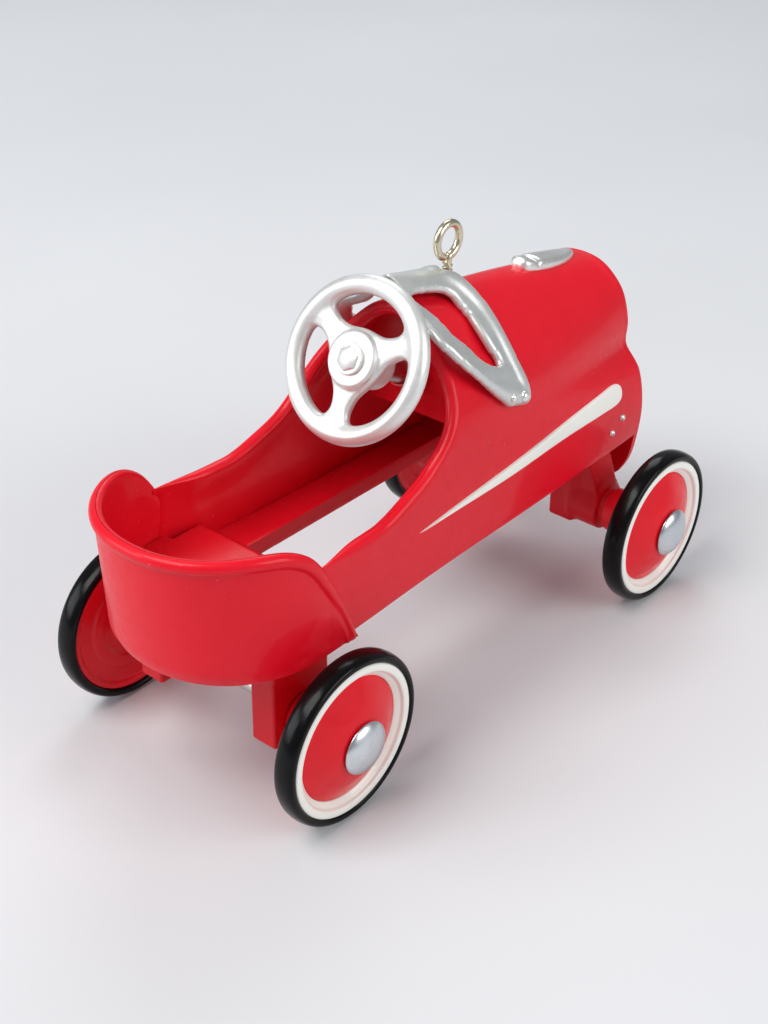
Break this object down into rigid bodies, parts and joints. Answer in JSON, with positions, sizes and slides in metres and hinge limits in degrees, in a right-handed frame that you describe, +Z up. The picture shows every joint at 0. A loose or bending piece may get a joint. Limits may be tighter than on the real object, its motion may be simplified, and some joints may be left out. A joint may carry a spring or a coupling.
{
  "type": "pedal car",
  "caption": "Miniature die-cast pedal car with open cockpit, rounded rear tub, swept windshield frame, spoked steering wheel, free-turning ringed wheels and a hanging eye.",
  "frame": {"origin": "middle of the bounding box in plan, on the ground plane under the tyres", "axes": "+X forward towards the nose, +Y to the car's left, +Z up"},
  "size_m": [0.085, 0.0458, 0.0549],
  "materials": {
    "red_enamel": "gloss enamel on die-cast metal",
    "red_wheel": "gloss enamel",
    "silver_cast": "bright silver enamel with soft sheen on cast metal",
    "bright_steel": "satin pressed steel",
    "axle_steel": "plain drawn steel",
    "nickel_brass": "nickel-washed brass",
    "cream_enamel": "cream white enamel",
    "black_tyre": "glossy black",
    "lamp_lens": "polished"
  },
  "bodies": {
    "car": {"body_shell": "red_enamel", "nose_panel": "red_enamel", "rear_tub": "red_enamel", "seat_pan": "red_enamel", "chassis_frame": "red_enamel", "rear_axle_carrier": "red_enamel", "front_axle_carrier": "red_enamel", "frame_screws": "axle_steel", "rear_axle_rod": "axle_steel", "front_axle_rod": "axle_steel", "hub_cap_rear_right": "bright_steel", "hub_cap_rear_left": "bright_steel", "hub_cap_front_right": "bright_steel", "hub_cap_front_left": "bright_steel", "column_bush": "red_enamel", "dash_panel": "red_enamel", "windshield_frame": "silver_cast", "windshield_rivets": "silver_cast", "hood_ornament": "silver_cast", "eye_screw": "nickel_brass", "side_spear_right": "cream_enamel", "side_spear_left": "cream_enamel", "side_rivets": "silver_cast", "grille": "silver_cast", "headlamp_bezel_right": "silver_cast", "headlamp_bezel_left": "silver_cast", "headlamp_lens_right": "lamp_lens", "headlamp_lens_left": "lamp_lens"},
    "wheel_rear_right": {"tyre_rear_right": "black_tyre", "white_ring_rear_right": "cream_enamel", "wheel_disc_rear_right": "red_wheel"},
    "wheel_rear_left": {"tyre_rear_left": "black_tyre", "white_ring_rear_left": "cream_enamel", "wheel_disc_rear_left": "red_wheel"},
    "wheel_front_right": {"tyre_front_right": "black_tyre", "white_ring_front_right": "cream_enamel", "wheel_disc_front_right": "red_wheel"},
    "wheel_front_left": {"tyre_front_left": "black_tyre", "white_ring_front_left": "cream_enamel", "wheel_disc_front_left": "red_wheel"},
    "steering": {"steering_wheel": "silver_cast", "steering_nut": "silver_cast", "steering_column": "silver_cast", "column_clip": "axle_steel"}
  },
  "joints": [
    {"name": "wheel_rear_right_spin", "type": "hinge", "parent": "car", "child": "wheel_rear_right", "pos_m": [-0.02783, -0.01757, 0.0105], "axis": [0, 1, 0], "continuous": true},
    {"name": "wheel_rear_left_spin", "type": "hinge", "parent": "car", "child": "wheel_rear_left", "pos_m": [-0.02783, 0.01757, 0.0105], "axis": [0, 1, 0], "continuous": true},
    {"name": "wheel_front_right_spin", "type": "hinge", "parent": "car", "child": "wheel_front_right", "pos_m": [0.03204, -0.01897, 0.0105], "axis": [0, 1, 0], "continuous": true},
    {"name": "wheel_front_left_spin", "type": "hinge", "parent": "car", "child": "wheel_front_left", "pos_m": [0.03204, 0.01897, 0.0105], "axis": [0, 1, 0], "continuous": true},
    {"name": "steering_turn", "type": "hinge", "parent": "car", "child": "steering", "pos_m": [-0.00639, 0, 0.0428], "axis": [-0.8806, 0, 0.4738], "continuous": true}
  ]
}
